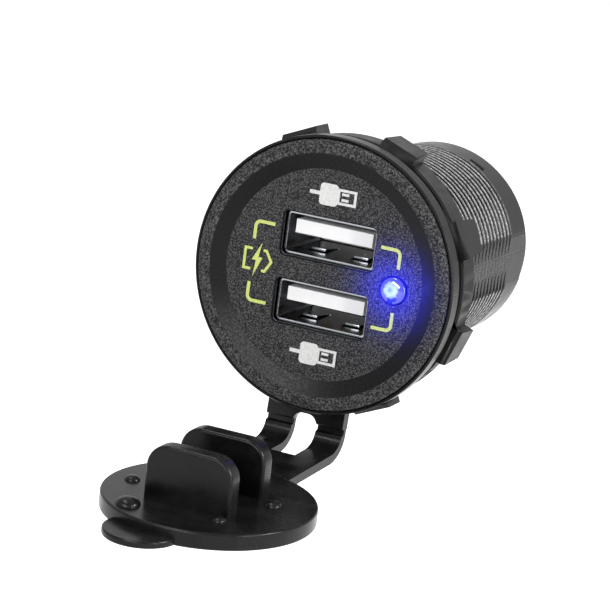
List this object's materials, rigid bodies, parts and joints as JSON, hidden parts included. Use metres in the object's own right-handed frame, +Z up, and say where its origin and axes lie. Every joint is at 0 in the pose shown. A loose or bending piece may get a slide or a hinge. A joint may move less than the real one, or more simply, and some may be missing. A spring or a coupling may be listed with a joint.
{
  "type": "dual usb socket",
  "caption": "Round panel-mount charging socket with two ports, an indicator, a threaded barrel with ring nut, and a tethered rubber cap.",
  "frame": {"origin": "centre of the flange's back face, where it meets the panel", "axes": "+Y runs back along the barrel, the face looks along -Y, +Z is up"},
  "size_m": [0.0376, 0.0947, 0.0467],
  "materials": {
    "moulded_black": "satin",
    "grained_black": "fine leather grain",
    "black_rubber": "satin",
    "shell_steel": "bright",
    "tongue_white": "smooth",
    "contact_gold": "bright",
    "lamp_blue": "clear dome",
    "ink_green": "printed",
    "ink_white": "printed",
    "board_green": "lacquered",
    "chip_black": "satin",
    "core_grey": "matt",
    "wire_copper": "enamelled",
    "can_sleeve": "sleeved",
    "blade_tin": "tinned"
  },
  "bodies": {
    "socket": {"barrel": "moulded_black", "face_plate": "grained_black", "rear_cover": "moulded_black", "cap_ring": "black_rubber", "usb_shell_upper": "shell_steel", "usb_shell_lower": "shell_steel", "usb_tongue_upper": "tongue_white", "usb_tongue_lower": "tongue_white", "usb_contacts_upper": "contact_gold", "usb_contacts_lower": "contact_gold", "indicator_led": "lamp_blue", "led_leads": "blade_tin", "bracket_marks": "ink_green", "charge_mark": "ink_green", "plug_marks": "ink_white", "front_board": "board_green", "power_board": "board_green", "control_chip": "chip_black", "inductor_core": "core_grey", "inductor_winding": "wire_copper", "input_capacitor": "can_sleeve", "output_capacitor": "can_sleeve", "board_pins": "contact_gold", "terminal_positive": "blade_tin", "terminal_negative": "blade_tin"},
    "ring_nut": {"ring_nut": "moulded_black"},
    "cap_lid": {"cap_lid": "black_rubber"}
  },
  "joints": [
    {"name": "nut_turn", "type": "hinge", "parent": "socket", "child": "ring_nut", "pos_m": [0, 0, 0], "axis": [0, 1, 0], "continuous": true},
    {"name": "cap_swing", "type": "hinge", "parent": "socket", "child": "cap_lid", "pos_m": [0, -0.0036, -0.0249], "axis": [1, 0, 0], "range_deg": [-74, 45], "stiffness_Nm_per_rad": 0.03, "springref_deg": -1.07}
  ]
}
